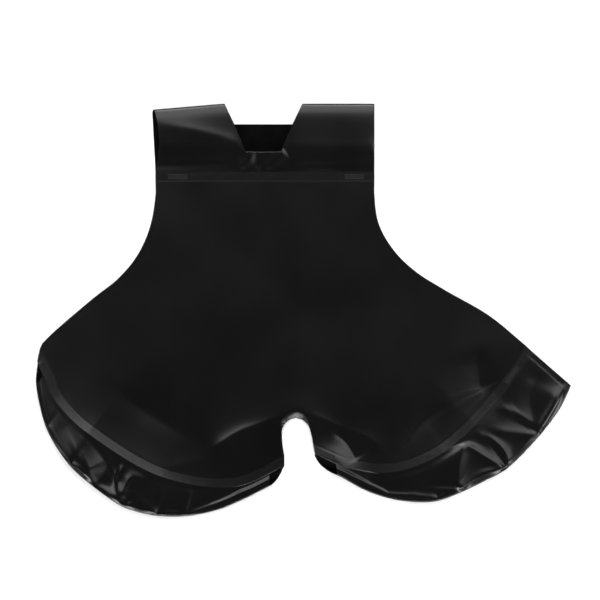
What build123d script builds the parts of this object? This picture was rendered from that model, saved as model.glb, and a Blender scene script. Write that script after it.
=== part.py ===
"""Seat protector for a harness: a coated sheet with a notched waist sleeve and two curved leg sleeves.

The sheet's edges are turned under and welded, which makes the sleeves. It lies flat with its outer side up.
+Y points to the waist, +Z is up, and left and right are as seen from above: +X is to the right.
The origin is the centre of the footprint, on the surface that the sheet lies on. Units are millimetres.
"""

import os

from build123d import *

# Sheet and welds
SHEET = 0.9  # thickness of the coated sheet
SEAM_WIDTH = 11.0  # width of a welded seam
SEAM_THICKNESS = 2 * SHEET
LIP = 2.0  # how far the two layers of a sleeve stay together past its seam
CREASE_GAP = 1.2  # width of the line along which the sheet bends
CREASE_OVERRUN = 8.0  # how far a crease line runs past the edge of the sheet

# Waist sleeve
WAIST_LEFT = -177.5
WAIST_RIGHT = 85.0
WAIST_SEAM_Y = 160.0  # middle of the waist seam
WAIST_FOLD = [(-181.5, 240), (-97, 247.2), (WAIST_RIGHT, 247.2)]
WAIST_LOFT = 22.0  # height of the open sleeve
WAIST_CUT = 5.0  # how far the top layer stops short at the left mouth
NOTCH_X = -48.0  # middle of the notch in the waist sleeve
# Width and y of the notch at the fold, at its foot in the bottom layer and at its foot in the top layer
NOTCH_MOUTH, NOTCH_SHALLOW, NOTCH_DEEP = (95.0, 248.2), (71.0, 223.2), (43.0, 189.6)

# Edges of the sheet between the waist and the legs: each a hollow arc, then a round end
LEFT_HIP = [(WAIST_LEFT, 138), (-199, 66), (-251, 15), (-300, -27), (-316, -50), (-321, -77)]
RIGHT_HIP = [(WAIST_RIGHT, 138), (108, 72), (166, 26), (223, -7), (268, -44)]
NOTCH_ARCH = [(-25, -140), (-8, -130), (6, -137)]

# Creases along which the leg flaps bend, from the leg notch to the hip
LEFT_CREASE = [(-25, -137), (-316, -54)]
RIGHT_CREASE = [(6, -135), (256, -34)]

# Leg sleeves: the middle line of each seam and its fold, both from the leg notch outwards
STATIONS = 14
LEFT_SEAM = [(-23, -180), (-82, -206), (-169, -194), (-256, -141), (-300, -84)]
RIGHT_SEAM = [(12, -166), (60, -184), (110, -188), (164, -166), (226, -108), (272, -48)]
LEFT_FOLD = [(-30, -202), (-74, -228), (-150, -247), (-210, -240), (-278, -192), (-310, -143), LEFT_HIP[-1]]
RIGHT_FOLD = [(14, -182), (73, -216), (143, -230.5), (197, -216), (242, -192), (279, -156), (307, -119)]
RIGHT_FOLD.append((321, -91))
LEG_LOFT = 22.0  # height of the open sleeves, less where they are narrow
LEFT_INNER_CUT, LEFT_OUTER_CUT, RIGHT_INNER_CUT = 19.0, 12.0, 30.0  # radii of the top layer's cut corners

# Shape of an open sleeve's section
STEEPEST = 0.9  # most that a sleeve may rise, as a share of its width
ROUND_START, ROUND_FARTHEST, ROUND_END = 0.12, 0.42, 0.4  # the rounded fold's points, as shares of the height

# Blank weld marks, each on a seam: length along it, width and thickness
MARK = (24.0, 5.5, 0.3)
WAIST_MARKS_X = (-150.5, 61.0)
LEG_MARKS = ((0, 0.65), (12, 0.4))  # station of the right leg sleeve, and share of the way to the next

UPRIGHT = (Align.CENTER, Align.CENTER, Align.MIN)  # centred in plan, standing on its own plane


def section_points(width, loft):
    """Where a sleeve's fold starts, reaches farthest and ends, as (distance from the seam, height)."""
    height = min(loft, STEEPEST * width)
    start = (width - ROUND_START * height, 0)
    farthest = (width, ROUND_FARTHEST * height)
    end = (width - ROUND_END * height, height)
    return start, farthest, end


def top_layer_section(plane, width, loft):
    """Closed section of a sleeve's top layer: a straight slope up from the seam, then a rounded fold."""
    below, farthest, above = section_points(width, loft)
    inner_below = (below[0], SHEET)
    inner_farthest = (farthest[0] - SHEET, farthest[1])
    inner_above = (above[0], above[1] - SHEET)
    lines = [
        Line((0, SHEET), (0, 2 * SHEET)),
        Line((0, 2 * SHEET), above),
        ThreePointArc(above, farthest, below),
        Line(below, inner_below),
        ThreePointArc(inner_below, inner_farthest, inner_above),
        Line(inner_above, (LIP, SHEET)),
        Line((LIP, SHEET), (0, SHEET)),
    ]
    return plane * make_face(lines).face()


def top_layer(feet, folds, loft):
    """Top layer of a sleeve, whose sections run from each foot, at its seam, to the fold point opposite."""
    sections = []
    for foot, fold in zip(feet, folds):
        across = fold - foot
        plane = Plane(origin=foot, x_dir=across, z_dir=across.cross(Vector(0, 0, 1)))
        sections.append(top_layer_section(plane, across.length, loft).outer_wire())
    return Solid.make_loft(sections, ruled=True)


def bottom_layer(feet, folds, loft):
    """Flat bottom layer of a sleeve, from its seam to the start of its fold."""
    far_edge = []
    for foot, fold in zip(feet, folds):
        across = fold - foot
        below = section_points(across.length, loft)[0]
        far_edge.append(foot + across.normalized() * below[0])
    return extrude(make_face(Polyline(*feet, *reversed(far_edge), close=True)), SHEET, dir=(0, 0, 1))


def leg_stations(seam_points, fold_points):
    """Inner edge, outer edge and fold point at each station of a leg sleeve, from the leg notch outwards."""
    seam = Spline(*seam_points)
    fold = Spline(*fold_points)
    inner_edge, outer_edge, folds = [], [], []
    for i in range(STATIONS + 1):
        middle = seam @ (i / STATIONS)
        opposite = fold @ (i / STATIONS)
        outwards = (opposite - middle).normalized()
        inner_edge.append(middle - outwards * SEAM_WIDTH / 2)
        outer_edge.append(middle + outwards * SEAM_WIDTH / 2)
        folds.append(opposite)
    return inner_edge, outer_edge, folds


def seam_strip(inner_edge, outer_edge):
    outline = Polyline(*inner_edge, *reversed(outer_edge), close=True)
    return extrude(make_face(outline), SEAM_THICKNESS, dir=(0, 0, 1))


def cut_back(layer, corner, radius):
    """Cut a sleeve's top layer back round a corner of its mouth, above the bottom layer."""
    return layer - Pos(corner.X, corner.Y, SHEET) * Cylinder(radius, LEG_LOFT, align=UPRIGHT)


def notch_prism(foot, mouth):
    """Upright prism through both layers of the waist sleeve. foot and mouth are (width, y)."""
    foot_left, foot_right = [(NOTCH_X + side * foot[0] / 2, foot[1]) for side in (-1, 1)]
    mouth_left, mouth_right = [(NOTCH_X + side * mouth[0] / 2, mouth[1]) for side in (-1, 1)]
    outline = Polyline(foot_left, foot_right, mouth_right, mouth_left, close=True)
    return extrude(make_face(outline), 2 * WAIST_LOFT, both=True)


def waist_layers():
    """Top and bottom layers of the waist sleeve. The notch is deeper in the top layer."""
    feet = [Vector(x, WAIST_SEAM_Y + SEAM_WIDTH / 2) for x in (WAIST_LEFT, WAIST_FOLD[1][0], WAIST_RIGHT)]
    folds = [Vector(*point) for point in WAIST_FOLD]
    shared_notch = notch_prism(NOTCH_SHALLOW, NOTCH_MOUTH)
    deeper_notch = notch_prism(NOTCH_DEEP, NOTCH_SHALLOW)
    top = cut_back(top_layer(feet, folds, WAIST_LOFT), folds[0], WAIST_CUT) - shared_notch - deeper_notch
    bottom = bottom_layer(feet, folds, WAIST_LOFT) - shared_notch
    return top, bottom


def waist_seam():
    size = (WAIST_RIGHT - WAIST_LEFT, SEAM_WIDTH, SEAM_THICKNESS)
    middle = ((WAIST_LEFT + WAIST_RIGHT) / 2, WAIST_SEAM_Y, 0)
    return Pos(*middle) * Box(*size, align=UPRIGHT)


def crease_cutter(inner, outer):
    """Thin upright wall along a crease: it parts the sheet into two plates, which turn on each other."""
    start, end = Vector(*inner), Vector(*outer)
    along = (end - start).normalized()
    middle = (start + end) / 2
    plane = Plane(origin=(middle.X, middle.Y, 0), x_dir=along, z_dir=(0, 0, 1))
    return plane * Box((end - start).length + 2 * CREASE_OVERRUN, CREASE_GAP, 4 * SHEET)


def sheet_plates(left_edge, right_edge):
    """The single-layer sheet below the waist, cut along its creases: seat, left leg and right leg plates."""
    top_y = WAIST_SEAM_Y - SEAM_WIDTH / 2 - CREASE_GAP
    outline = [
        Polyline(LEFT_HIP[0], (WAIST_LEFT, top_y), (WAIST_RIGHT, top_y), RIGHT_HIP[0]),
        ThreePointArc(*RIGHT_HIP[:3]),
        ThreePointArc(*RIGHT_HIP[2:]),
        Polyline(RIGHT_HIP[-1], *reversed(right_edge), NOTCH_ARCH[2]),
        ThreePointArc(*reversed(NOTCH_ARCH)),
        Polyline(NOTCH_ARCH[0], *left_edge, LEFT_HIP[-1]),
        Spline(*reversed(LEFT_HIP[2:])),
        ThreePointArc(*reversed(LEFT_HIP[:3])),
    ]
    sheet = extrude(make_face(outline), SHEET, dir=(0, 0, 1))
    plates = (sheet - crease_cutter(*LEFT_CREASE) - crease_cutter(*RIGHT_CREASE)).solids()
    seat = plates.sort_by(Axis.Y)[-1]
    left_leg = plates.sort_by(Axis.X)[0]
    right_leg = plates.sort_by(Axis.X)[-1]
    return seat, left_leg, right_leg


def leg_mark(inner_edge, outer_edge, station, share):
    """Blank mark on a leg seam, a share of the way from one station to the next."""
    here = (inner_edge[station] + outer_edge[station]) / 2
    there = (inner_edge[station + 1] + outer_edge[station + 1]) / 2
    middle = here + (there - here) * share
    plane = Plane(origin=(middle.X, middle.Y, SEAM_THICKNESS), x_dir=there - here, z_dir=(0, 0, 1))
    return plane * Box(*MARK, align=UPRIGHT)


def waist_mark(x):
    place = Pos(x, WAIST_SEAM_Y, SEAM_THICKNESS)
    return place * Box(*MARK, align=UPRIGHT)


left_inner, left_outer, left_folds = leg_stations(LEFT_SEAM, LEFT_FOLD)
right_inner, right_outer, right_folds = leg_stations(RIGHT_SEAM, RIGHT_FOLD)
seat_plate, left_leg_plate, right_leg_plate = sheet_plates(left_inner, right_inner)

left_leg_top = top_layer(left_outer, left_folds, LEG_LOFT)
left_leg_top = cut_back(left_leg_top, left_folds[0], LEFT_INNER_CUT)
left_leg_top = cut_back(left_leg_top, left_folds[-1], LEFT_OUTER_CUT)
right_leg_top = cut_back(top_layer(right_outer, right_folds, LEG_LOFT), right_folds[0], RIGHT_INNER_CUT)
waist_top, waist_bottom = waist_layers()

parts = {
    "seat_panel": seat_plate,
    "left_leg_panel": left_leg_plate,
    "right_leg_panel": right_leg_plate,
    "waist_sleeve_top": waist_top,
    "waist_sleeve_bottom": waist_bottom,
    "waist_weld_seam": waist_seam(),
    "waist_mark_left": waist_mark(WAIST_MARKS_X[0]),
    "waist_mark_right": waist_mark(WAIST_MARKS_X[1]),
    "left_leg_sleeve_top": left_leg_top,
    "left_leg_sleeve_bottom": bottom_layer(left_outer, left_folds, LEG_LOFT),
    "left_leg_weld_seam": seam_strip(left_inner, left_outer),
    "right_leg_sleeve_top": right_leg_top,
    "right_leg_sleeve_bottom": bottom_layer(right_outer, right_folds, LEG_LOFT),
    "right_leg_weld_seam": seam_strip(right_inner, right_outer),
    "right_leg_mark_inner": leg_mark(right_inner, right_outer, *LEG_MARKS[0]),
    "right_leg_mark_outer": leg_mark(right_inner, right_outer, *LEG_MARKS[1]),
}

os.makedirs("parts", exist_ok=True)
for name, shape in parts.items():
    export_step(Compound(children=shape.solids()), f"parts/{name}.step")
    box = shape.bounding_box()
    print(name, "from", tuple(round(v, 1) for v in box.min), "to", tuple(round(v, 1) for v in box.max))
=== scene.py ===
"""Looks of the harness seat protector: a thin black coated sheet, lying flat, with welded sleeves.

The sheet is three pieces that meet on hidden lines: a waist sheet, a left sheet and a right sheet. Each is
a grid of rows and columns laid out flat in millimetres, lifted by creases and folds, and given a thickness.
"""

import bpy
import numpy as np
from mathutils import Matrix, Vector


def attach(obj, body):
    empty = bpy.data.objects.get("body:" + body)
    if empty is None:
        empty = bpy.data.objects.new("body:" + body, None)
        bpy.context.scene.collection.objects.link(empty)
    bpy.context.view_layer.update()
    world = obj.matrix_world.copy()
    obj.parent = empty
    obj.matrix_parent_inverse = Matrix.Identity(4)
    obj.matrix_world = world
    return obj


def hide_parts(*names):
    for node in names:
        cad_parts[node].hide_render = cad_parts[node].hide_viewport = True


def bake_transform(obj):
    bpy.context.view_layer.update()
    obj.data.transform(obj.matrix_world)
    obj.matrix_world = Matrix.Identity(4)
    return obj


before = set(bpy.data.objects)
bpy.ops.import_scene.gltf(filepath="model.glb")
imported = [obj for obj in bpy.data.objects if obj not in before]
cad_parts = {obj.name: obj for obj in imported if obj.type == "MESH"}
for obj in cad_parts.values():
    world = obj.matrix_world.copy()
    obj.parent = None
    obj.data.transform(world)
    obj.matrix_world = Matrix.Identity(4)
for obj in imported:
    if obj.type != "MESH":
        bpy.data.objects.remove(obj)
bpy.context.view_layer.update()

MM = 0.001
SHEET = 0.9  # thickness of the coated sheet
HALF = SHEET / 2
SEAM_WIDTH = 11.0
EDGE = 0.3  # width of the narrow cells along every cut edge, which round its shading

# ---------------------------------------------------------------- outlines, seen from above
SPLIT_Y = 108.0  # the waist sheet meets the other two here
SPLIT_X = -48.0  # and the left and right sheets meet on a line from here down to the leg notch
ARCH = (-9.0, -129.5)  # middle of the leg notch's edge
WAIST_LEFT, WAIST_RIGHT = -177.5, 85.0
SEAM_INNER_Y = 154.5
SEAM_OUTER_Y = SEAM_INNER_Y + SEAM_WIDTH
ARCH_TURN = [(5.0, 0.75), (9.75, 3.1), (13.9, 7.2), (16.4, 12.6)]  # how the arch curves, aside and down


def notch_side(side, foot):
    """One side of the leg notch, from the middle of its arch down to the seam."""
    return [ARCH, *((ARCH[0] + side * aside, ARCH[1] - down) for aside, down in ARCH_TURN), *foot]


LEFT_HIP = [(WAIST_LEFT, SEAM_INNER_Y), (WAIST_LEFT, 138), (-184, 100), (-199, 66), (-222, 38), (-251, 15),
            (-300, -27), (-313, -40)]
LEFT_NOTCH = notch_side(-1, [(-25.5, -158), (-23, -175)])
LEFT_SEAM = [(-23, -180.5), (-82, -206), (-169, -194), (-256, -142), (-280, -120.5), (-296.5, -99),
             (-304.5, -79), (-317.5, -54)]
LEFT_FOLD = [(-26, -191), (-28.5, -201), (-37, -209), (-51, -216.5), (-74, -228), (-104, -240),
             (-139, -246.5), (-175, -246.2), (-215, -236), (-248, -214), (-279, -187), (-306, -146),
             (-317, -110), (-320.5, -88), (-321, -74), (-319.3, -62)]

RIGHT_HIP = [(WAIST_RIGHT, SEAM_INNER_Y), (WAIST_RIGHT, 138), (90, 104), (108, 72), (134, 46.5), (166, 26),
             (223, -7), (268, -44)]
RIGHT_NOTCH = notch_side(1, [(9.5, -150), (11.5, -160)])
RIGHT_SEAM = [(12.5, -166), (60, -184.5), (110, -188), (164, -166), (226, -108), (272, -48)]
RIGHT_FOLD = [(13.5, -177.5), (17, -185), (25, -192), (43, -199), (73, -216), (108, -227), (143, -230.5),
              (163, -228), (186, -219.5), (214, -206.5), (243, -190.5), (281, -153), (307, -119), (321, -91)]

WAIST_FOLD = [(-181.5, 240), (-97, 247.2), (85, 247.2)]
TAB_DEPTH = 80.0
TOP_NOTCH_Y, BOTTOM_NOTCH_Y = 189.6, 223.2  # foot of the waist's notch in the top layer and in the bottom one
WAIST_TOP_Y = 246.0
NOTCH_MIDDLE_X = -48.0
NOTCH_HALF_WIDTHS = [(TOP_NOTCH_Y, 21.0), (BOTTOM_NOTCH_Y, 35.5), (WAIST_TOP_Y, 46.5)]  # y, half width


# ---------------------------------------------------------------- curves and fields
def dense(points, smooth=True, count=1200):
    """Points evenly spaced along a line, rounded through its corners if smooth."""
    p = np.array(points, float)
    if smooth and len(p) > 2:
        padded = np.vstack([2 * p[0] - p[1], p, 2 * p[-1] - p[-2]])
        t = np.linspace(0, 1, 40, endpoint=False)[:, None]
        runs = []
        for a, b, c, d in zip(padded, padded[1:], padded[2:], padded[3:]):
            ab, bc, cd = (np.linalg.norm(q - r) ** 0.5 + 1e-9 for q, r in ((b, a), (c, b), (d, c)))
            m0 = (c - b) - bc * ((c - a) / (ab + bc) - (b - a) / ab)
            m1 = (c - b) + bc * ((d - c) / cd - (d - b) / (bc + cd))
            runs.append((2 * t**3 - 3 * t**2 + 1) * b + (t**3 - 2 * t**2 + t) * m0
                        + (3 * t**2 - 2 * t**3) * c + (t**3 - t**2) * m1)
        p = np.vstack([*runs, p[-1:]])
    length = np.concatenate([[0], np.cumsum(np.linalg.norm(np.diff(p, axis=0), axis=1))])
    places = np.linspace(0, length[-1], count)
    return np.stack([np.interp(places, length, p[:, k]) for k in range(2)], axis=1)


def at(curve, share):
    """Points of a dense curve at shares of its length, in an array of any shape."""
    place = np.clip(share, 0, 1) * (len(curve) - 1)
    index = np.arange(len(curve))
    return np.stack([np.interp(place, index, curve[:, k]) for k in range(2)], axis=-1)


def length_of(curve):
    """Length of a dense curve."""
    return float(np.linalg.norm(np.diff(curve, axis=0), axis=1).sum())


def seam_edges(seam, start_cut, end_cut, reach=26.0):
    """The seam's edges on the panel's side and on the sleeve's, cut at its ends along the given directions,
    which point from the sleeve's side to the panel's. Past reach from its ends they are square to it."""
    run = np.gradient(seam, axis=0)
    run /= np.linalg.norm(run, axis=1, keepdims=True)
    square = np.stack([-run[:, 1], run[:, 0]], axis=1)
    if square[len(seam) // 3, 1] < 0:
        square = -square
    along = np.linspace(0, length_of(seam), len(seam))
    across = square.copy()
    for cut, gap in ((start_cut, along), (end_cut, along[::-1])):
        cut = np.array(cut, float) / np.hypot(*cut)
        share = ease(1 - gap / reach)[:, None]
        across = across * (1 - share) + cut * share
    # a slanted cut is longer, but not without limit
    across /= np.maximum((across * square).sum(axis=1, keepdims=True), 0.75)
    return seam + across * SEAM_WIDTH / 2, seam - across * SEAM_WIDTH / 2


def ease(t):
    """Smooth step from 0 to 1."""
    t = np.clip(t, 0, 1)
    return t * t * (3 - 2 * t)


def above_zero(t, sharpness):
    """The larger of t and 0, rounded where they meet."""
    return np.log1p(np.exp(t * sharpness)) / sharpness


def line_coords(x, y, curve):
    """Distance to a curve, positive on its left as it runs, and the share of its length that is nearest."""
    best = np.full(x.shape, 1e9)
    side = np.zeros(x.shape)
    share = np.zeros(x.shape)
    n = len(curve) - 1
    for i in range(n):
        (ax, ay), (bx, by) = curve[i], curve[i + 1]
        dx, dy = bx - ax, by - ay
        t = np.clip(((x - ax) * dx + (y - ay) * dy) / (dx * dx + dy * dy), 0, 1)
        d = np.hypot(x - ax - t * dx, y - ay - t * dy)
        near = d < best
        best = np.where(near, d, best)
        side = np.where(near, np.sign(dx * (y - ay) - dy * (x - ax)), side)
        share = np.where(near, (i + t) / n, share)
    return best * side, share


def blended_share(x, y, curve, blend=8.0):
    """Share of a dense curve's length near a place, evened out so that it never jumps between two runs."""
    away = np.hypot(x[..., None] - curve[:, 0], y[..., None] - curve[:, 1])
    weight = np.exp((away.min(axis=-1, keepdims=True) - away) / blend)
    return (weight * np.linspace(0, 1, len(curve))).sum(axis=-1) / weight.sum(axis=-1)


class Crease:
    """A ridge (height above 0) or valley along a line, in millimetres: how fast it falls away on the left
    and on the right of the line as it runs, how round its top is, and what share of each end fades."""

    def __init__(self, line, height, left, right, tip=2.0, fade=(0.3, 0.3)):
        self.curve = dense(line, count=16)
        self.height, self.left, self.right, self.tip, self.fade = height, left, right, tip, fade

    def lift(self, x, y):
        d, share = line_coords(x, y, self.curve)
        width = np.where(d > 0, self.left, self.right)
        fall = np.exp(-(np.sqrt(d * d + self.tip**2) - self.tip) / width)
        ends = ease(share / max(self.fade[0], 1e-6)) * ease((1 - share) / max(self.fade[1], 1e-6))
        return self.height * fall * ends


class Mound:
    """A smooth rise round a point: its height, and how far it reaches along and across its own axis."""

    def __init__(self, centre, height, along, across, angle=0.0):
        self.centre, self.height, self.along, self.across = centre, height, along, across
        self.angle = np.radians(angle)

    def lift(self, x, y):
        dx, dy = x - self.centre[0], y - self.centre[1]
        u = (dx * np.cos(self.angle) + dy * np.sin(self.angle)) / self.along
        v = (dy * np.cos(self.angle) - dx * np.sin(self.angle)) / self.across
        return self.height * np.exp(-(u * u + v * v))


def field(features, x, y):
    """Height that creases and mounds add up to."""
    return sum(f.lift(x, y) for f in features)


# ---------------------------------------------------------------- how the sheet lies
PANEL_CREASES = [
    # the crests that run from the arch of the leg notch to the left and to the right
    Crease([(-4.2, -119.4), (-23.4, -124.2), (-49.8, -135.6), (-76.2, -145.2), (-119.4, -172.8)],
           3.6, 32, 13, tip=1.0, fade=(0.6, 0.28)),
    Crease([(-9, -119.4), (6.6, -123.6), (49.8, -141.6), (82.2, -154.8), (106.2, -180)],
           0.9, 6, 18, tip=1.4, fade=(0.25, 0.3)),
    # valley above the left seam, and a crest from its end back to the seam
    Crease([(-253.8, -72), (-196.2, -116.4), (-148.2, -146.4), (-102.6, -172.8)],
           -3.4, 14, 26, tip=3, fade=(0.45, 0.55)),
    Crease([(-94.2, -168), (-129, -180), (-172.2, -189.6)], 0.6, 14, 8, tip=2),
    # bulge over the seam beside the right sleeve's mouth, and the fold that ends it
    Mound((36.6, -177.6), 3.2, 24, 15, -25),
    Crease([(31.8, -144), (49.8, -157.2), (64.2, -181.2)], -1.4, 9, 5, tip=1.2, fade=(0.3, 0.1)),
    # valleys above the right seam
    Crease([(113.4, -184.8), (126.6, -152.4), (149.4, -128.4), (178.2, -109.2)],
           -2.6, 12, 16, tip=3, fade=(0.6, 0.4)),
    Crease([(207, -42), (210.6, -74.4), (214.2, -96), (222, -104)], -1.9, 9, 26, tip=2.2, fade=(0.4, 0.3)),
    # the sheet stands higher behind the notch
    Mound((-9, -124), 2.4, 34, 26),
]
# The panel lies this high at the waist, and rises by so much towards the legs
WAIST_LIFT, LEG_LIFT = 1.0, 2.2
LEG_LIFT_FROM_Y, LEG_LIFT_LENGTH = 40, 170
# The edge of the leg notch's arch turns down past this line
LIP_LINE = dense([(-31.8, -180), (-30, -148.8), (-24.6, -130.8), (-9, -120.6), (4.2, -127.2), (10.2, -146.4),
                  (12.6, -180)], count=36)
LIP_SLOPE = 0.52
LIP_REACH, LIP_SHARPNESS = 14, 1 / 0.7
LIP_FOOT_Y = -141  # the sides of the notch stay flat below this
# How far each leg seam is raised and how fast the rise falls away, by share of its length from the notch
LEFT_RISES = [(0, 1.0, 26), (0.25, 1.6, 26), (0.42, 7.6, 38), (0.7, 8.8, 40), (0.85, 4.2, 32), (1, 0.6, 24)]
RIGHT_RISES = [(0, 2.0, 12), (0.13, 2.0, 12), (0.22, 1.2, 20), (0.36, 4.0, 34), (0.5, 6.0, 38),
               (0.66, 4.4, 34), (0.8, 1.0, 26), (1, 0.5, 20)]

LEFT_SEAM_LINE = dense(LEFT_SEAM)
RIGHT_SEAM_LINE = dense(RIGHT_SEAM)
LEFT_EDGES = seam_edges(LEFT_SEAM_LINE, (0, 1), (0.2, 1))
RIGHT_EDGES = seam_edges(RIGHT_SEAM_LINE, (-0.2, 1), (-0.65, 0.6))


def seam_lift(x, y, seam, rises, side):
    """Height that a raised seam gives to the sheet round it. side is 1 if the panel is on the seam's left."""
    shares, heights, widths = np.array(rises, float).T
    away, share = line_coords(x, y, seam[::30])
    beside = (side * away > -2 * SEAM_WIDTH) & (share > 0) & (share < 1)
    from_edge = np.maximum(np.where(beside, side * away, np.abs(away)) + SEAM_WIDTH / 2, 0)
    share = blended_share(x, y, seam[::10])
    return np.interp(share, shares, heights) * np.exp(-from_edge / np.interp(share, shares, widths))


def panel_lift(x, y):
    """Height of the single sheet's underside over the floor."""
    lift = WAIST_LIFT + LEG_LIFT * ease((LEG_LIFT_FROM_Y - y) / LEG_LIFT_LENGTH) + field(PANEL_CREASES, x, y)
    lift = lift + seam_lift(x, y, LEFT_SEAM_LINE, LEFT_RISES, -1)
    lift = lift + seam_lift(x, y, RIGHT_SEAM_LINE, RIGHT_RISES, 1)
    into_lip, _ = line_coords(x, y, LIP_LINE)
    drop = LIP_SLOPE * above_zero(-np.clip(into_lip, -LIP_REACH, LIP_REACH), LIP_SHARPNESS)
    lift = lift - drop * ease((y - LIP_FOOT_Y) / 7) * ease((LIP_REACH - np.abs(into_lip)) / 3)
    return above_zero(lift, 1.5)


# ---------------------------------------------------------------- grids
def graded(count, edge_share):
    """Shares from 0 to 1, with one narrow step at each end."""
    return np.concatenate([[0], np.linspace(edge_share, 1 - edge_share, count - 1), [1]])


def coons(top, bottom, start, end, rows, cols):
    """Grid of points between four dense curves. top and bottom run from start's side to end's side."""
    w, u = rows[:, None], cols[None, :]
    tops, bottoms = at(top, u), at(bottom, u)
    starts, ends = at(start, w), at(end, w)
    u, w = u[..., None], w[..., None]
    sides = (1 - u) * starts + u * ends
    lids = (1 - w) * tops + w * bottoms
    upper = (1 - u) * (1 - w) * top[0] + u * (1 - w) * top[-1]
    lower = (1 - u) * w * bottom[0] + u * w * bottom[-1]
    return sides + lids - (upper + lower)


def inset(line, inward):
    """The points that lie EDGE away from a line of points, towards the next line."""
    step = inward - line
    return line + step * EDGE / np.linalg.norm(step, axis=-1, keepdims=True)


def relaxed(grid, times=400):
    """Plan grid with its inner points evened out, and narrow cells along its first row and both its sides."""
    even = np.delete(np.delete(grid, [1, -2], axis=1), 1, axis=0)
    for _ in range(times):
        even[1:-1, 1:-1] = (even[:-2, 1:-1] + even[2:, 1:-1] + even[1:-1, :-2] + even[1:-1, 2:]) / 4
    even = np.vstack([even[:1], inset(even[:1], even[1:2]), even[1:]])
    first = inset(even[:, :1], even[:, 1:2])
    last = inset(even[:, -1:], even[:, -2:-1])
    return np.hstack([even[:, :1], first, even[:, 1:-1], last, even[:, -1:]])


def smooth_rows(a, times, keep):
    """Rounds the corners across the rows of a, from row keep on, without moving the rows at its ends."""
    a = a.copy()
    for _ in range(times):
        a[keep + 1:-1] = (a[keep:-2] + 2 * a[keep + 1:-1] + a[keep + 2:]) / 4
    return a


def stacked(*coordinates):
    """Array of points from arrays of coordinates that broadcast together."""
    return np.stack(np.broadcast_arrays(*coordinates), axis=-1)


def rows_of_runs(counts):
    """For each row of a sleeve, which of its runs the row is in and the share of the run that it ends."""
    run = np.concatenate([np.full(count, i) for i, count in enumerate(counts)])
    share = np.concatenate([np.arange(1, count + 1) / count for count in counts])
    return run, share


# ---------------------------------------------------------------- meshes
INNER_SLOT, BAND_SLOT = 1, 2  # material slots; the outer side has slot 0
# The way to the cell on each side of a cell, and the side's two corners in order
CELL_SIDES = (
    ((-1, 0), (0, 1), (0, 0)),
    ((1, 0), (1, 0), (1, 1)),
    ((0, -1), (0, 0), (1, 0)),
    ((0, 1), (1, 1), (0, 1)),
)


def sheet_faces(kept):
    """Faces of the outer side, of the inner side and of the cut edges, and the row of each outer face."""
    cols = kept.shape[1] + 1
    points = (kept.shape[0] + 1) * cols
    r, c = np.nonzero(kept)

    def index(row, col):
        return row * cols + col

    outer = np.stack([index(r, c), index(r + 1, c), index(r + 1, c + 1), index(r, c + 1)], axis=1)
    padded = np.pad(kept, 1)
    rims = []
    for (down, across), a, b in CELL_SIDES:
        bare = ~padded[r + 1 + down, c + 1 + across]
        p = index(r[bare] + a[0], c[bare] + a[1])
        q = index(r[bare] + b[0], c[bare] + b[1])
        rims.append(np.stack([p, q, q + points, p + points], axis=1))
    return outer, outer[:, ::-1] + points, np.concatenate(rims), r


def sharpen_split(mesh, on_split, on_outer):
    """Marks the rim as sharp where this sheet meets another one."""
    edges = np.zeros(len(mesh.edges) * 2, np.int32)
    mesh.edges.foreach_get("vertices", edges)
    edges = edges.reshape(-1, 2)
    sharp = on_split[edges].all(axis=1) & (on_outer[edges[:, 0]] == on_outer[edges[:, 1]])
    mesh.attributes.new("sharp_edge", "BOOLEAN", "EDGE").data.foreach_set("value", sharp)


def build(name, middle, kept, row_slot, uv, split_rows=0):
    """Mesh of a sheet of real thickness, from the grid of its middle surface in millimetres, the cells that
    are kept, the material slot of each row's outer side, and how far its first column meets another sheet."""
    rows, cols = middle.shape[:2]
    normal = np.cross(np.gradient(middle, axis=0), np.gradient(middle, axis=1))
    normal /= np.linalg.norm(normal, axis=2, keepdims=True) + 1e-12
    if normal[2, cols // 4, 2] < 0:
        normal = -normal
    points = np.stack([middle + normal * HALF, middle - normal * HALF]).reshape(-1, 3)
    outer, inner, rim, cell_row = sheet_faces(kept)
    faces = np.concatenate([outer, inner, rim])
    slots = np.full(len(faces), INNER_SLOT, np.int32)
    slots[:len(outer)] = row_slot[cell_row]
    used, faces = np.unique(faces, return_inverse=True)
    faces = faces.reshape(-1, 4)
    points = points[used] * MM
    corner, below, beside = points[faces[0, 0]], points[faces[0, 1]], points[faces[0, 2]]
    if np.cross(below - corner, beside - corner)[2] < 0:
        faces = faces[:, ::-1]
    mesh = bpy.data.meshes.new(name)
    mesh.from_pydata(points.tolist(), [], faces.tolist())
    mesh.polygons.foreach_set("material_index", slots)
    layer = mesh.uv_layers.new(name="seam")
    flat_uv = np.concatenate([uv.reshape(-1, 2)] * 2)[used] * MM
    loops = np.zeros(len(mesh.loops), np.int32)
    mesh.loops.foreach_get("vertex_index", loops)
    layer.data.foreach_set("uv", flat_uv[loops].astype(np.float32).ravel())
    mesh.shade_smooth()
    on_split = np.zeros((rows, cols), bool)
    on_split[0, :] = True
    on_split[:split_rows, 0] = True
    sharpen_split(mesh, np.concatenate([on_split.ravel()] * 2)[used], used < rows * cols)
    mesh.validate()
    obj = bpy.data.objects.new(name, mesh)
    bpy.context.scene.collection.objects.link(obj)
    return obj


# ---------------------------------------------------------------- seams
SEAM_STEPS = np.array([0.45, 0.9, 1.4, 2.2, 3.4, 4.6, 5.8, 7.0, 8.2, 9.2, 9.8, 10.4, 11.0])
UNDER_STEPS = np.array([5.0, SEAM_WIDTH, SEAM_WIDTH + 1.5])  # the turned flap ends like this, under the seam
BAND_TILT, BAND_GROOVE = 0.04, 0.12
FLAP_DROP = 0.7  # the turned flap lies this far under the sheet it is welded to


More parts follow.
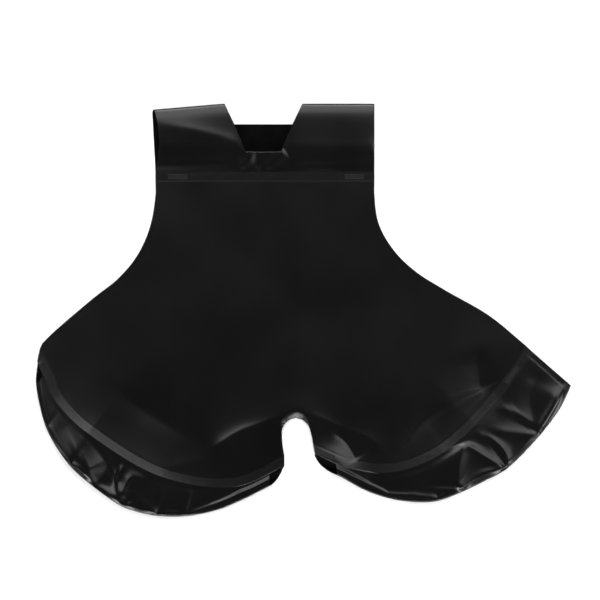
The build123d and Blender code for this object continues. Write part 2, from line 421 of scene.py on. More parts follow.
def band_rise(into):
    """Height of a pressed band over the sheet beside it, at a distance from its edge on the panel's side."""
    return BAND_TILT * into - BAND_GROOVE * ease(into / 0.8) * np.exp(-into / 3)


# ---------------------------------------------------------------- leg sheets
LEG_COLUMNS, LEG_LENGTH = 250, 300  # columns of a leg sheet, and about how long its rows are
PANEL_ROWS = 170
PANEL_DEPTH, SLEEVE_ROW_DEPTH, FLAP_DEPTH = 280, 1.4, 80  # of the pattern on the sheet
# A sleeve's rows go out to the crest, down to the fold, round it, and last of all back under to the seam
SLEEVE_ROWS = (30, 9, 5, 16)
LAYER, FACET, TURN = 0, 1, 2
FOLD_SHARE = 0.85  # height of the sleeve's fold, as a share of its crest's
BEAD_LENGTH, BEAD_HEIGHT = 5.5, 1.2  # how the top layer swells before it turns down at the fold
DIP_LENGTH, DIP_DEPTH = 9.0, 0.45  # and how it dips just past the band
DIP_FROM_WIDTH, DIP_WIDTHS = 20, 25  # where the sleeve is wide enough
TURN_INSET = 2.4  # the bottom layer's edge lies this far inside the fold
LAYER_GAP = 1.15 * SHEET  # least height of the top layer over the bottom one, between their middles
CUT_SHARE = 0.12  # the top layer's ends reach their full cut over this share of its rows
KINK_DROP = 1.5  # a full kink lowers the crest by this much
LEAST_SETBACK, MOST_SETBACK_SHARE = 2.0, 0.55  # limits of the crest's distance from the fold


def panel_part(top, inner, start, hip, rows, cols):
    """Rows of the single sheet, from the line where the sheets meet to the seam."""
    plan = relaxed(coons(top, inner, start, hip, rows, cols))
    return np.dstack([plan, HALF + panel_lift(plan[..., 0], plan[..., 1])])


def across_seam(near, far, cols, steps):
    """Plan of rows at steps from a seam's near edge towards its far edge."""
    share = (steps / SEAM_WIDTH)[:, None, None]
    return at(near, cols)[None] * (1 - share) + at(far, cols)[None] * share


def seam_part(inner, outer, cols):
    """Rows over the pressed band."""
    plan = across_seam(inner, outer, cols, SEAM_STEPS)
    z = HALF + panel_lift(plan[..., 0], plan[..., 1]) + band_rise(SEAM_STEPS)[:, None]
    return np.dstack([plan, z])


def flap_part(inner, outer, cols):
    """Last rows of the turned flap, under the seam."""
    plan = across_seam(outer, inner, cols, UNDER_STEPS)
    return np.dstack([plan, HALF + panel_lift(plan[..., 0], plan[..., 1]) - FLAP_DROP])


def crest_of(u, fold, crests, kinks, width):
    """Height of the sleeve's crest and its distance from the fold, at shares u of the fold's length.
    crests are (share, height, distance); kinks are (x, y, depth of the cut from 0 to 1, its reach)."""
    shares, heights, distances = np.array(crests, float).T
    crest = np.interp(u, shares, heights)
    setback = np.interp(u, shares, distances)
    along = u * length_of(fold)
    left = np.ones_like(u)
    for x, y, depth, reach in kinks:
        here = np.argmin(np.hypot(fold[:, 0] - x, fold[:, 1] - y)) / (len(fold) - 1) * length_of(fold)
        left = left * (1 - depth * np.exp(-np.sqrt(((along - here) / reach) ** 2 + 0.04) + 0.2))
    setback = np.clip(setback * left, LEAST_SETBACK, MOST_SETBACK_SHARE * width)
    return crest - KINK_DROP * (1 - left), setback


def layer_swell(reached, length, share, width):
    """How the top layer swells before its crest, and dips past the band where the sleeve is wide."""
    bead = BEAD_HEIGHT * (ease(1 - (length - reached) / BEAD_LENGTH) - share)
    roomy = np.clip((width - DIP_FROM_WIDTH) / DIP_WIDTHS, 0, 1)
    return bead - DIP_DEPTH * roomy * np.sin(np.pi * np.clip(reached / DIP_LENGTH, 0, 1)) ** 2


def sleeve_part(outer, fold, cols, cuts, crests, kinks, features):
    """Rows of a leg sleeve: out over the top layer, down to the fold, round it, and back under to the seam.
    cuts are the shares of the seam's length that the top layer is shorter by, at its start and its end."""
    run, step = rows_of_runs(SLEEVE_ROWS)
    cut = np.select([run == LAYER, run == FACET, run == TURN], [ease(step / CUT_SHARE), 1.0, 1 - step], 0.0)
    begin = (cuts[0] * cut)[:, None]
    finish = (1 - cuts[1] * cut)[:, None]
    u = begin + (finish - begin) * cols[None, :]
    foot, far = at(outer, u), at(fold, u)
    reach = far - foot
    width = np.linalg.norm(reach, axis=-1)
    crest, setback = crest_of(u, fold, crests, kinks, width)
    base = HALF + panel_lift(foot[..., 0], foot[..., 1])
    band = base + band_rise(SEAM_WIDTH)
    # distance from the seam, and height, at the ends of the runs
    stops = [
        (0 * width, band),
        (width - setback, band + crest),
        (width, FOLD_SHARE * (band + crest)),
        (width - TURN_INSET, HALF + 0 * width),
        (0 * width, base - FLAP_DROP),
    ]
    out = np.zeros_like(width)
    height = np.zeros_like(width)
    for i in range(len(SLEEVE_ROWS)):
        on = run == i
        share = step[on][:, None]
        (out_from, height_from), (out_to, height_to) = stops[i], stops[i + 1]
        out[on] = out_from[on] * (1 - share) + out_to[on] * share
        height[on] = height_from[on] * (1 - share) + height_to[on] * share
    on = run == LAYER
    height[on] += layer_swell(out[on], (width - setback)[on], step[on][:, None], width[on])
    plan = foot + reach * (out / width)[..., None]
    creased = np.select([run == LAYER, run == FACET], [ease(step * 5), 1 - ease(step)], 0.0)[:, None]
    height = height + creased * field(features, plan[..., 0], plan[..., 1])
    # the top layer stays above the bottom layer
    on_top = (run < TURN)[:, None]
    bottom = (base - FLAP_DROP) * (1 - out / width) + HALF * out / width
    lowest = np.where(on_top, LAYER_GAP, 0) + bottom
    height = lowest + np.where(on_top, above_zero(height - lowest, 3), height - lowest)
    return np.dstack([plan, np.maximum(height, HALF)])


def leg_sheet(name, outlines, seam, edges, fold, cuts, crests, kinks, features):
    """One side of the seat with its leg sleeve: panel, seam, the sleeve's top layer, its fold and its flap.
    outlines are the line where it meets the waist sheet, its middle and leg notch, and its hip."""
    top, start, hip = outlines
    inner, outer = edges
    start = dense(np.vstack([start, inner[:1]]), smooth=False)
    hip = dense(np.vstack([hip, inner[-1:]]), smooth=False)
    cols = graded(LEG_COLUMNS, EDGE / LEG_LENGTH)
    rows = np.concatenate([[0, 0.001], np.linspace(0.006, 1, PANEL_ROWS - 2)])
    middle = np.vstack([
        panel_part(top, inner, start, hip, rows, cols),
        seam_part(inner, outer, cols),
        sleeve_part(outer, fold, cols, cuts, crests, kinks, features),
        flap_part(inner, outer, cols),
    ])
    middle = smooth_rows(middle, 4, PANEL_ROWS + len(SEAM_STEPS) - 1)
    kept = np.ones((len(middle) - 1, len(cols) - 1), bool)
    row_slot = np.zeros(len(kept), int)
    row_slot[PANEL_ROWS - 1:PANEL_ROWS - 1 + len(SEAM_STEPS)] = BAND_SLOT
    depth = np.concatenate([
        (rows - 1) * PANEL_DEPTH - SEAM_WIDTH / 2,
        SEAM_STEPS - SEAM_WIDTH / 2,
        SEAM_WIDTH / 2 + np.arange(1, sum(SLEEVE_ROWS) + 1) * SLEEVE_ROW_DEPTH,
        FLAP_DEPTH + UNDER_STEPS,
    ])
    uv = stacked(length_of(seam) * cols[None, :], depth[:, None])
    split_rows = int(np.searchsorted(-at(start, rows)[:, 1], -ARCH[1]))
    return build(name, middle, kept, row_slot, uv, split_rows)


SPLIT_LINE = dense([(SPLIT_X, SPLIT_Y), ARCH], smooth=False)


def leg_outlines(hip, notch):
    """A leg sheet's outlines, but for its seam: top, middle with leg notch, and hip."""
    line = dense(hip)
    at_split = np.interp(-SPLIT_Y, -line[:, 1], line[:, 0])
    below = dense(np.vstack([[(at_split, SPLIT_Y)], line[line[:, 1] < SPLIT_Y]]), smooth=False)
    top = dense([(SPLIT_X, SPLIT_Y), below[0]], smooth=False)
    return top, np.vstack([SPLIT_LINE, dense(notch)]), below


# How high the sleeve's crest stands over the seam and how far inside the fold, by share of the fold's length
LEFT_CRESTS = [(0, 1.5, 9), (0.12, 2.0, 12), (0.24, 1.0, 8), (0.3, 0.5, 4), (0.5, 0.5, 6), (0.62, 0.5, 7),
               (0.75, 0.5, 6), (0.86, 0.0, 6), (0.95, 0.5, 6), (1, 0.0, 6)]
RIGHT_CRESTS = [(0, 1.0, 7), (0.18, 1.2, 11), (0.3, 1.2, 7), (0.36, 1.4, 9), (0.44, 0.5, 5), (0.5, 0.5, 7),
                (0.6, 0.5, 9), (0.72, 0.5, 8), (0.85, 0.5, 9), (0.93, 1.5, 9), (1, 1.5, 12)]
# Where the fold is kinked
LEFT_KINKS = [(-138.6, -244.8, 0.5, 5), (-174.6, -243.6, 0.55, 5), (-216.6, -231.6, 0.5, 8),
              (-247.8, -212.4, 0.5, 8), (-276.6, -183.6, 0.55, 5), (-305.4, -139.2, 0.4, 6)]
RIGHT_KINKS = [(106.2, -213.6, 0.35, 7), (161.4, -224.4, 0.5, 5), (184.2, -217.2, 0.55, 6),
               (243, -190.8, 0.65, 7), (281.4, -150, 0.65, 7)]
LEFT_PUCKERS = [
    # left border of the big leaf-shaped facet, which faces away from the outline
    Crease([(-285, -136.8), (-270.6, -164.4), (-247.8, -208.8)], 5.8, 22, 14, tip=0.8, fade=(0.75, 0.28)),
    # its right border, a valley that turns down to the fold
    Crease([(-280.2, -139.2), (-259.8, -152.4), (-239.4, -174), (-227.4, -196.8), (-221.4, -228)],
           -5.6, 14, 16, tip=0.8, fade=(0.75, 0.22)),
    # the narrow pucker beside it, and the flat facet that spreads from its tip
    Crease([(-216.6, -229.2), (-222.6, -206.4), (-217.8, -189.6), (-205.8, -183.6)],
           2.6, 5, 5, tip=1.2, fade=(0.35, 0.4)),
    Crease([(-215.4, -231.6), (-214.2, -213.6), (-207, -201.6), (-181.8, -204)],
           4.2, 12, 9, tip=1.0, fade=(0.25, 0.5)),
    Crease([(-213, -232.8), (-193.8, -230.4), (-174.6, -242.4)], 1.6, 7, 3, tip=0.8, fade=(0.15, 0.15)),
    # soft streaks that run up from the fold
    Crease([(-172.2, -242.4), (-169.8, -220.8), (-166.2, -204)], 1.0, 6, 6, tip=2, fade=(0.1, 0.5)),
    Crease([(-142.2, -242.4), (-137.4, -220.8), (-131.4, -206.4)], 1.0, 6, 6, tip=2, fade=(0.1, 0.5)),
]
RIGHT_PUCKERS = [
    # crest where the dark facet beside the seam ends
    Crease([(191.4, -156), (186.6, -182.4), (184.2, -216)], 3.4, 9, 30, tip=0.8, fade=(0.12, 0.08)),
    Crease([(192.6, -158.4), (216.6, -175.2), (243, -189.6)], 1.8, 5, 6, tip=0.8, fade=(0.15, 0.08)),
    # the facets beyond it
    Crease([(199.8, -148.8), (223.8, -153.6), (241.8, -170.4), (244.2, -187.2)],
           1.6, 4, 5, tip=0.8, fade=(0.35, 0.1)),
    Crease([(214.2, -141.6), (247.8, -146.4), (282.6, -150)], 1.6, 7, 5, tip=1.0, fade=(0.35, 0.08)),
    Crease([(228.6, -117.6), (257.4, -123.6), (282.6, -148.8)], 1.4, 6, 12, tip=1.0, fade=(0.3, 0.08)),
    Crease([(285, -72), (273, -103.2), (280.2, -147.6)], -1.2, 16, 12, tip=1.0, fade=(0.2, 0.1)),
    Crease([(185.4, -216), (207, -196.8), (241.8, -190.8)], 1.4, 4, 4, tip=0.8, fade=(0.1, 0.1)),
    # sharp crest across the outer corner
    Crease([(311.4, -85.2), (299.4, -115.2), (283.8, -148.8)], 3.8, 5, 24, tip=0.8, fade=(0.35, 0.15)),
]

left = leg_sheet("left_sheet", leg_outlines(LEFT_HIP, LEFT_NOTCH), LEFT_SEAM_LINE, LEFT_EDGES,
                 dense(LEFT_FOLD), (28 / 450, 30 / 450), LEFT_CRESTS, LEFT_KINKS, LEFT_PUCKERS)
right = leg_sheet("right_sheet", leg_outlines(RIGHT_HIP, RIGHT_NOTCH), RIGHT_SEAM_LINE, RIGHT_EDGES,
                  dense(RIGHT_FOLD), (38 / 400, 0.0), RIGHT_CRESTS, RIGHT_KINKS, RIGHT_PUCKERS)

# ---------------------------------------------------------------- waist sheet
WAIST_ROWS = (46, 5, 46)  # on the top layer, round the fold and on the bottom layer
WAIST_COLUMNS = (84, 48, 66)  # on the left tab, over the notch and on the right tab
WAIST_PART_WIDTHS = (85.0, 45.0, 92.0)
WAIST_SHARES = [graded(count, EDGE / width) for count, width in zip(WAIST_COLUMNS, WAIST_PART_WIDTHS)]
WAIST_FLAT_YS = np.concatenate([[SPLIT_Y, SPLIT_Y + EDGE], np.linspace(SPLIT_Y + 1.5, SEAM_INNER_Y, 30),
                                SEAM_INNER_Y + SEAM_STEPS])
# The turn starts so far inside the outline, swells out and ends further back
WAIST_TURN_INSET, WAIST_TURN_BULGE, WAIST_TURN_BACK = 0.3, 0.6, 1.6
# The left mouth bows in and leans out, the bottom layer leans further out, and the right mouth hardly bows
LEFT_MOUTH_BOW, LEFT_MOUTH_LEAN, BOTTOM_LEAN, RIGHT_MOUTH_BOW = 5.5, 1.0, 4.0, 0.6
# The top layer stands so high at the fold, swells behind it, and sags further on
WAIST_FOLD_HEIGHT, WAIST_SWELL, WAIST_SWELL_LENGTH = 4.6, 2.8, 5.5
WAIST_SAG, WAIST_SAG_FROM, WAIST_SAG_LENGTH = 1.0, 14, 60
WAIST_LIFT_OFF_LENGTH = 34  # and leaves the panel's height over this length past the seam
LEFT_HIP_LINE, RIGHT_HIP_LINE = dense(LEFT_HIP), dense(RIGHT_HIP)
WAIST_FOLD_LINE = dense(WAIST_FOLD, smooth=False)
WAIST_CREASES = [
    # left tab: a swelling that grows towards the notch, and a crease over the seam
    Crease([(-196.2, 225.6), (-130.2, 214.8), (-93, 205.2), (-69, 194.4)],
           1.5, 9, 14, tip=2, fade=(0.5, 0.15)),
    Crease([(-210.6, 174), (-154.2, 175.2), (-78.6, 178.8)], -1.0, 6, 5, tip=1.5, fade=(0.3, 0.2)),
    # right tab: two broad swellings with a dent between them and the seam
    Crease([(-21, 180), (37.8, 180), (91.8, 189.6)], 1.6, 16, 8, tip=4, fade=(0.2, 0.1)),
    Crease([(-11.4, 175.2), (19.8, 171.6), (58.2, 170.4)], -1.2, 9, 6, tip=2.5, fade=(0.3, 0.4)),
    # small puckers under the notch
    Crease([(-61.8, 193.2), (-65.4, 180), (-81, 169.2)], 2.2, 7, 8, tip=2.2, fade=(0.1, 0.3)),
    Crease([(-21, 189.6), (-37.8, 176.4), (-49.8, 166.8)], 2.0, 7, 9, tip=2.4, fade=(0.1, 0.3)),
    Crease([(-54.6, 192), (-55.8, 180), (-53.4, 166.8)], -1.2, 5, 6, tip=2.0, fade=(0.1, 0.3)),
]


def waist_top_height(d):
    """Height of the waist sleeve's top layer, at a distance from its fold."""
    swell = WAIST_SWELL * (1 - np.exp(-d / WAIST_SWELL_LENGTH))
    return WAIST_FOLD_HEIGHT + swell - WAIST_SAG * ease((d - WAIST_SAG_FROM) / WAIST_SAG_LENGTH)


def waist_ends(y, layer):
    """Left and right end of a row at about height y, on the flat sheet or on the sleeve's top or bottom."""
    into = (y - SEAM_OUTER_Y) / TAB_DEPTH
    if layer == "top":
        bow = np.sin(np.pi * np.clip(into, 0, 1))
        return WAIST_LEFT + LEFT_MOUTH_BOW * bow - LEFT_MOUTH_LEAN * into, WAIST_RIGHT - RIGHT_MOUTH_BOW * bow
    if layer == "bottom":
        return WAIST_LEFT - BOTTOM_LEAN * into, WAIST_RIGHT
    if y < SEAM_INNER_Y:
        return [np.interp(-y, -line[:, 1], line[:, 0]) for line in (LEFT_HIP_LINE, RIGHT_HIP_LINE)]
    return WAIST_LEFT, WAIST_RIGHT


def waist_row(y, layer):
    """x of the points in a row at about height y."""
    first, last = waist_ends(y, layer)
    notch_ys, half_widths = np.array(NOTCH_HALF_WIDTHS).T
    half = np.interp(y, notch_ys, half_widths)
    a, b = NOTCH_MIDDLE_X - half, NOTCH_MIDDLE_X + half
    left_tab, notch, right_tab = WAIST_SHARES
    return np.concatenate([first + (a - first) * left_tab, a + (b - a) * notch[1:-1],
                           b + (last - b) * right_tab])


def waist_edge(x):
    """Height of the waist's outline at x."""
    return np.interp(x, WAIST_FOLD_LINE[:, 0], WAIST_FOLD_LINE[:, 1])


def waist_flat_row(y):
    """Row of the single sheet and of the band."""
    x = waist_row(y, "flat")
    z = HALF + panel_lift(x, np.full_like(x, y))
    if y > SEAM_INNER_Y:
        z = z + band_rise(y - SEAM_INNER_Y)
    return stacked(x, y, z)


def waist_top_row(share):
    """Row of the sleeve's top layer, at a share of the way from the seam to the fold."""
    x = waist_row(SEAM_OUTER_Y + (WAIST_TOP_Y - SEAM_OUTER_Y) * share, "top")
    edge = waist_edge(x)
    y = SEAM_OUTER_Y + (edge - WAIST_TURN_INSET - SEAM_OUTER_Y) * share
    band = HALF + panel_lift(x, np.full_like(x, SEAM_OUTER_Y)) + band_rise(SEAM_WIDTH)
    off = ease((y - SEAM_OUTER_Y) / WAIST_LIFT_OFF_LENGTH)
    z = waist_top_height(edge - y) * off + band * (1 - off)
    z = z + field(WAIST_CREASES, x, y) * ease((edge - y) / 8) * ease((y - SEAM_OUTER_Y) / 7)
    return stacked(x, y, np.maximum(z, HALF))


def waist_turn_row(share):
    """Row round the sleeve's fold, at a share of the turn."""
    x = waist_row(WAIST_TOP_Y, "top") * (1 - share) + waist_row(WAIST_TOP_Y, "bottom") * share
    angle = np.pi * share
    back = WAIST_TURN_BACK * (1 - np.cos(angle)) / 2
    y = waist_edge(x) - WAIST_TURN_INSET + WAIST_TURN_BULGE * np.sin(angle) - back
    z = HALF + (waist_top_height(0 * x) - HALF) * (1 + np.cos(angle)) / 2
    return stacked(x, y, np.maximum(z, HALF))


def waist_bottom_row(share):
    """Row of the sleeve's bottom layer, at a share of the way from the fold back to the seam."""
    x = waist_row(WAIST_TOP_Y - 1 + (SEAM_OUTER_Y - WAIST_TOP_Y + 1) * share, "bottom")
    start = waist_edge(x) - WAIST_TURN_INSET - WAIST_TURN_BACK
    return stacked(x, start + (SEAM_OUTER_Y - start) * share, HALF)


def waist_flap_row(step):
    """Row of the turned flap, at a step under the seam."""
    x = waist_row(SEAM_OUTER_Y, "flat")
    y = SEAM_OUTER_Y - step
    return stacked(x, y, HALF + panel_lift(x, np.full_like(x, y)) - FLAP_DROP)


def waist_sheet():
    """The seat's top strip with the waist sleeve and its notch."""
    sleeve_rows = (waist_top_row, waist_turn_row, waist_bottom_row)
    runs, shares = rows_of_runs(WAIST_ROWS)
    middle = np.array([
        *(waist_flat_row(y) for y in WAIST_FLAT_YS),
        *(sleeve_rows[run](share) for run, share in zip(runs, shares)),
        *(waist_flap_row(step) for step in UNDER_STEPS),
    ])
    flat = len(WAIST_FLAT_YS)
    middle = smooth_rows(middle, 2, flat)
    # the notch is cut through the top layer, the fold and the end of the bottom layer
    kept = np.ones((middle.shape[0] - 1, middle.shape[1] - 1), bool)
    cell = np.arange(len(kept))
    row_y = middle[:, middle.shape[1] // 2, 1]
    foot = np.where(cell < flat + WAIST_ROWS[0] + WAIST_ROWS[1], TOP_NOTCH_Y, BOTTOM_NOTCH_Y)
    in_sleeve = (cell >= flat) & (cell < flat + sum(WAIST_ROWS))
    cut = in_sleeve & ((row_y[:-1] + row_y[1:]) / 2 > foot)
    kept[cut, WAIST_COLUMNS[0]:WAIST_COLUMNS[0] + WAIST_COLUMNS[1]] = False
    row_slot = np.zeros(len(kept), int)
    row_slot[flat - len(SEAM_STEPS) - 1:flat - 1] = BAND_SLOT
    uv = stacked(middle[..., 0], middle[..., 1] - (SEAM_INNER_Y + SEAM_WIDTH / 2))
    uv[flat:, :, 1] += 20  # keeps the sleeve's pattern apart from the band's
    return build("waist_sheet", middle, kept, row_slot, uv)


waist = waist_sheet()


# ---------------------------------------------------------------- materials
TEXTURE_RANGE = (0.35, 0.65)  # most of a noise texture's values lie between these


def principled(name, roughness, specular):
    """New material, with the parts of it that the functions below work on."""
    material = bpy.data.materials.new(name)
    material.use_nodes = True
    nodes, links = material.node_tree.nodes, material.node_tree.links
    shader = nodes["Principled BSDF"]
    shader.inputs["Roughness"].default_value = roughness
    shader.inputs["Specular IOR Level"].default_value = specular
    return material, nodes, links, shader


def noise(nodes, links, vector, scale, detail=4.0, stretch=None):
    """Noise of about 1 / scale metres, stretched along the axes if asked."""
    if stretch:
        mapping = nodes.new("ShaderNodeMapping")
        mapping.inputs["Scale"].default_value = stretch
        links.new(vector, mapping.inputs["Vector"])
        vector = mapping.outputs["Vector"]
    texture = nodes.new("ShaderNodeTexNoise")
    texture.inputs["Scale"].default_value = scale
    texture.inputs["Detail"].default_value = detail
    links.new(vector, texture.inputs["Vector"])
    return texture.outputs["Fac"]


def ribs(nodes, links, vector, pitch, direction):
    """Waves along U or V of the given pitch in metres."""
    texture = nodes.new("ShaderNodeTexWave")
    texture.bands_direction = direction
    texture.inputs["Scale"].default_value = np.pi / (10 * pitch)
    texture.inputs["Distortion"].default_value = 0.4
    links.new(vector, texture.inputs["Vector"])
    return texture.outputs["Fac"]


def spread(nodes, links, value, low, high, target):
    """Maps a texture's middle range on to low to high, and feeds it to a shader input."""
    span = nodes.new("ShaderNodeMapRange")
    span.inputs["From Min"].default_value, span.inputs["From Max"].default_value = TEXTURE_RANGE
    span.inputs["To Min"].default_value, span.inputs["To Max"].default_value = low, high
    links.new(value, span.inputs["Value"])
    links.new(span.outputs["Result"], target)


def tones(nodes, links, value, dark, light, shader):
    """Colour that drifts between two tones."""
    ramp = nodes.new("ShaderNodeValToRGB")
    for element, position, tone in zip(ramp.color_ramp.elements, TEXTURE_RANGE, (dark, light)):
        element.position = position
        element.color = (*tone, 1)
    links.new(value, ramp.inputs["Fac"])
    links.new(ramp.outputs["Color"], shader.inputs["Base Color"])


def bumps(nodes, links, layers, shader):
    """Chain of bumps, each (texture value, height in metres, strength)."""
    normal = None
    for value, height, strength in layers:
        bump = nodes.new("ShaderNodeBump")
        bump.inputs["Distance"].default_value = height
        bump.inputs["Strength"].default_value = strength
        links.new(value, bump.inputs["Height"])
        if normal:
            links.new(normal, bump.inputs["Normal"])
        normal = bump.outputs["Normal"]
    links.new(normal, shader.inputs["Normal"])


def place(nodes):
    """Place on the object, in metres."""
    return nodes.new("ShaderNodeTexCoord").outputs["Object"]


def seam_place(nodes):
    """Place along the seam and across it, in metres."""
    uv = nodes.new("ShaderNodeUVMap")
    uv.uv_map = "seam"
    return uv.outputs["UV"]


def coated_outer():
    """Glossy black coated cloth: fine grain, a slight waviness from the rolls, and duller rubbed clouds."""
    material, nodes, links, shader = principled("coated_sheet_outer", 0.22, 0.35)
    where = place(nodes)
    clouds = noise(nodes, links, where, 9, 3)
    tones(nodes, links, clouds, (0.0018, 0.0018, 0.002), (0.0028, 0.0028, 0.003), shader)
    spread(nodes, links, noise(nodes, links, where, 14, 5), 0.21, 0.25, shader.inputs["Roughness"])
    waves = noise(nodes, links, where, 16, 1, (1.0, 0.4, 1.0))
    grain = noise(nodes, links, where, 1500, 3)
    bumps(nodes, links, [(waves, 0.001, 0.12), (grain, 0.00003, 0.2)], shader)
    return material


def coated_inner():
    """The cloth's inner side: a matte plain weave, its colour darker than the outer side's as painted shade
    for the dark insides of the sleeves and the notch.
    """
    material, nodes, links, shader = principled("coated_sheet_inner_painted_shade", 0.8, 0.03)
    where = place(nodes)
    warp, weft = ribs(nodes, links, where, 0.0011, "X"), ribs(nodes, links, where, 0.0011, "Y")
    clouds = noise(nodes, links, where, 60)
    # painted shade: these tones are darker than the outer side's, standing in for the shade inside the
    # sleeves and the notch
    tones(nodes, links, clouds, (0.0006, 0.0006, 0.0007), (0.0014, 0.0014, 0.0016), shader)
    bumps(nodes, links, [(warp, 0.0001, 0.6), (weft, 0.0001, 0.6)], shader)
    return material


def welded_band():
    """The band pressed by the welding bar: fine cross ribs over the same coating."""
    material, nodes, links, shader = principled("welded_seam_pressed", 0.22, 0.4)
    along, where = seam_place(nodes), place(nodes)
    clouds = noise(nodes, links, where, 40)
    tones(nodes, links, clouds, (0.003, 0.003, 0.0032), (0.0036, 0.0036, 0.0038), shader)
    spread(nodes, links, noise(nodes, links, where, 200), 0.23, 0.26, shader.inputs["Roughness"])
    bar_ribs = ribs(nodes, links, along, 0.0016, "X")
    grain = noise(nodes, links, where, 900, 3)
    bumps(nodes, links, [(bar_ribs, 0.00002, 0.3), (grain, 0.00003, 0.15)], shader)
    return material


def pressed_plate():
    """Blank marks, a shade duller than the sheet."""
    material, nodes, links, shader = principled("pressed_mark", 0.45, 0.17)
    where = place(nodes)
    specks = noise(nodes, links, where, 400)
    tones(nodes, links, specks, (0.004, 0.004, 0.0042), (0.0065, 0.0065, 0.0067), shader)
    spread(nodes, links, noise(nodes, links, where, 700), 0.38, 0.52, shader.inputs["Roughness"])
    bumps(nodes, links, [(noise(nodes, links, where, 1800), 0.00005, 0.5)], shader)
    return material


def pale_floor():
    """Plain white floor."""
    material, nodes, links, shader = principled("pale_floor", 0.9, 0.0)
    tones(nodes, links, noise(nodes, links, place(nodes), 3), (0.9, 0.9, 0.9), (0.93, 0.93, 0.93), shader)
    return material


SHEET_MATERIALS = (coated_outer(), coated_inner(), welded_band())
for piece in (left, right, waist):
    for material in SHEET_MATERIALS:
        piece.data.materials.append(material)

# ---------------------------------------------------------------- marks
MARK_LENGTH, MARK_WIDTH, MARK_HEIGHT = 24.0, 5.5, 0.3
MARK_RIM, MARK_BEVEL, MARK_RIB_HEIGHT = 0.7, 0.3, 0.05
MARK_FIELD_SHARE = 0.55  # height of the plate inside its rim, as a share of the rim's
MARK_COLUMNS, MARK_ROWS = 49, 12
MARK_SINK = 0.15  # its underside lies this far inside the band


def mark(node, centre, into_band):
    """Blank plate with a raised rim and fine ribs, laid on the band. into_band gives the distance from the
    band's inner edge and the direction of the band at a place."""
    columns, rows = MARK_COLUMNS, MARK_ROWS
    direction = into_band(*centre)[1]
    along = np.linspace(-0.5, 0.5, columns) * MARK_LENGTH
    across = np.linspace(-0.5, 0.5, rows) * MARK_WIDTH
    u, v = np.meshgrid(along, across)
    x = centre[0] + u * direction[0] - v * direction[1]
    y = centre[1] + u * direction[1] + v * direction[0]
    base = SHEET + panel_lift(x, y) + band_rise(into_band(x, y)[0])
    border = np.minimum(MARK_LENGTH / 2 - np.abs(u), MARK_WIDTH / 2 - np.abs(v))
    inside = MARK_FIELD_SHARE * MARK_HEIGHT + MARK_RIB_HEIGHT * np.sin(u * np.pi)
    raised = np.where(border < MARK_RIM, MARK_HEIGHT, inside) * ease(border / MARK_BEVEL + 0.4)
    top = np.dstack([x, y, base + raised]).reshape(-1, 3)
    under = np.dstack([x, y, base - MARK_SINK]).reshape(-1, 3)
    n = rows * columns
    faces = []
    for r in range(rows - 1):
        for c in range(columns - 1):
            a, b = r * columns + c, (r + 1) * columns + c
            faces += [(a, a + 1, b + 1, b), (a + n, b + n, b + n + 1, a + n + 1)]
    loop = [*range(columns), *((r + 1) * columns - 1 for r in range(1, rows)),
            *(n - 2 - c for c in range(columns - 1)), *(r * columns for r in range(rows - 2, 0, -1))]
    for a, b in zip(loop, loop[1:] + loop[:1]):
        faces.append((b, a, a + n, b + n))
    mesh = bpy.data.meshes.new("blank_" + node)
    mesh.from_pydata((np.vstack([top, under]) * MM).tolist(), [], faces)
    mesh.shade_smooth()
    mesh.materials.append(MARK_MATERIAL)
    obj = bpy.data.objects.new("blank_" + node, mesh)
    bpy.context.scene.collection.objects.link(obj)
    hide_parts(node)
    return obj


def on_waist_band(x, y):
    """Distance from the waist band's lower edge, and its direction."""
    return y - SEAM_INNER_Y, (1.0, 0.0)


def on_right_band(x, y):
    """Distance from the right leg band's inner edge, and its direction there."""
    away, share = line_coords(np.asarray(x, float), np.asarray(y, float), RIGHT_SEAM_LINE[::10])
    near = at(RIGHT_SEAM_LINE, [share.mean() - 0.01, share.mean() + 0.01])
    run = near[1] - near[0]
    return SEAM_WIDTH / 2 - away, run / np.linalg.norm(run)


MARK_MATERIAL = pressed_plate()
waist_marks = [mark("waist_mark_left", (-150.5, 160), on_waist_band),
               mark("waist_mark_right", (61, 160), on_waist_band)]
leg_marks = [mark("right_leg_mark_inner", (25.6, -172.1), on_right_band),
             mark("right_leg_mark_outer", (249.9, -77.4), on_right_band)]

# ---------------------------------------------------------------- motion
LEFT_CREASE = np.array([(-25, -137), (-316, -54)], float)
RIGHT_CREASE = np.array([(6, -135), (256, -34)], float)

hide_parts("seat_panel", "left_leg_panel", "left_leg_sleeve_top", "left_leg_sleeve_bottom",
            "left_leg_weld_seam")
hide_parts("right_leg_panel", "right_leg_sleeve_top", "right_leg_sleeve_bottom",
            "right_leg_weld_seam")
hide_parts("waist_sleeve_top", "waist_sleeve_bottom", "waist_weld_seam")
for piece, body, (a, b), side in ((left, "left_leg", LEFT_CREASE, 1), (right, "right_leg", RIGHT_CREASE, -1)):
    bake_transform(piece)
for piece in [waist] + waist_marks:
    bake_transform(piece)
for piece in leg_marks:
    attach(piece, "right_leg")

# ---------------------------------------------------------------- floor, light and camera
floor_mesh = bpy.data.meshes.new("floor")
floor_mesh.from_pydata([(-2, -2, 0), (2, -2, 0), (2, 2, 0), (-2, 2, 0)], [], [(0, 1, 2, 3)])
floor = bpy.data.objects.new("floor", floor_mesh)
bpy.context.scene.collection.objects.link(floor)
floor_mesh.materials.append(pale_floor())
floor.location.z = -0.0005

LIGHT_DISTANCE = 3.0


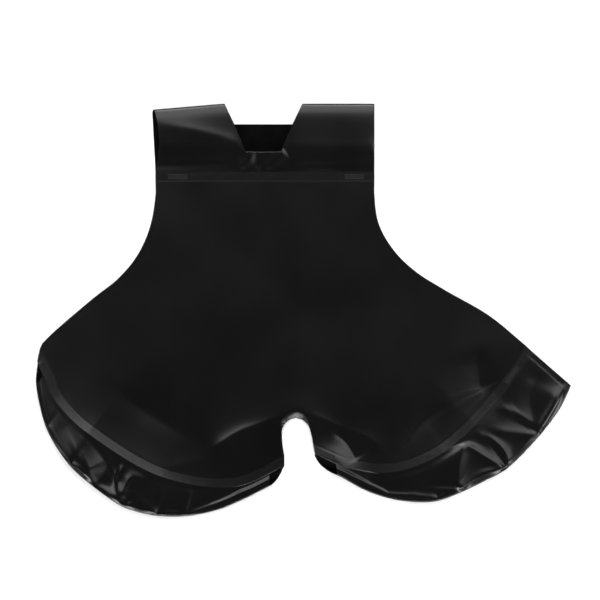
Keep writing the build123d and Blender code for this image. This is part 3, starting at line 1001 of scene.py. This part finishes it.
def softbox(name, azimuth, elevation, size_x, size_y, radiance):
    """Area light that faces the middle of the object. Azimuth 0 is +X and 90 is +Y."""
    light = bpy.data.lights.new(name, "AREA")
    light.shape = "RECTANGLE"
    light.size, light.size_y = size_x, size_y
    light.energy = radiance * size_x * size_y * np.pi
    obj = bpy.data.objects.new(name, light)
    a, e = np.radians(azimuth), np.radians(elevation)
    target = Vector((0, 0, 0))
    position = target + LIGHT_DISTANCE * Vector((np.cos(a) * np.cos(e), np.sin(a) * np.cos(e), np.sin(e)))
    obj.location = position
    obj.rotation_mode = "QUATERNION"
    obj.rotation_quaternion = (target - position).to_track_quat("-Z", "Y")
    bpy.context.scene.collection.objects.link(obj)


softbox("waist_side", 92, 60, 2.6, 1.3, 3.3)
softbox("waist_low", 92, 36, 3.0, 0.9, 9)
softbox("right_waist_side", 25, 60, 1.3, 1.2, 2.8)
softbox("leg_side", 270, 27, 4.0, 0.8, 12)
softbox("left_waist_side", 150, 57, 1.3, 1.2, 2.8)
softbox("right_leg_side", 325, 48, 1.0, 1.0, 1.5)
softbox("right_leg_low", 332, 30, 1.2, 0.8, 8)
softbox("left_leg_low", 208, 28, 1.3, 0.6, 4)


def studio():
    """Grey surroundings, a little darker overhead."""
    world = bpy.data.worlds.new("studio")
    world.use_nodes = True
    nodes, links = world.node_tree.nodes, world.node_tree.links
    direction = nodes.new("ShaderNodeTexCoord")
    split = nodes.new("ShaderNodeSeparateXYZ")
    ramp = nodes.new("ShaderNodeValToRGB")
    for element, height, grey in zip(ramp.color_ramp.elements, (0.75, 0.97), (0.06, 0.04)):
        element.position = height
        element.color = (grey, grey, grey, 1)
    links.new(direction.outputs["Generated"], split.inputs["Vector"])
    links.new(split.outputs["Z"], ramp.inputs["Fac"])
    links.new(ramp.outputs["Color"], nodes["Background"].inputs["Color"])
    return world


bpy.context.scene.world = studio()

VIEW_WIDTH = 0.720  # metres across the picture at the floor
LENS, SENSOR_WIDTH = 135, 36
camera_data = bpy.data.cameras.new("camera")
camera_data.lens = LENS
camera_data.sensor_width = SENSOR_WIDTH
camera_data.clip_end = 20
camera = bpy.data.objects.new("camera", camera_data)
camera.location = (-0.0042, 0.012, VIEW_WIDTH * LENS / SENSOR_WIDTH)
bpy.context.scene.collection.objects.link(camera)
bpy.context.scene.camera = camera
bpy.context.scene.view_settings.view_transform = "Standard"
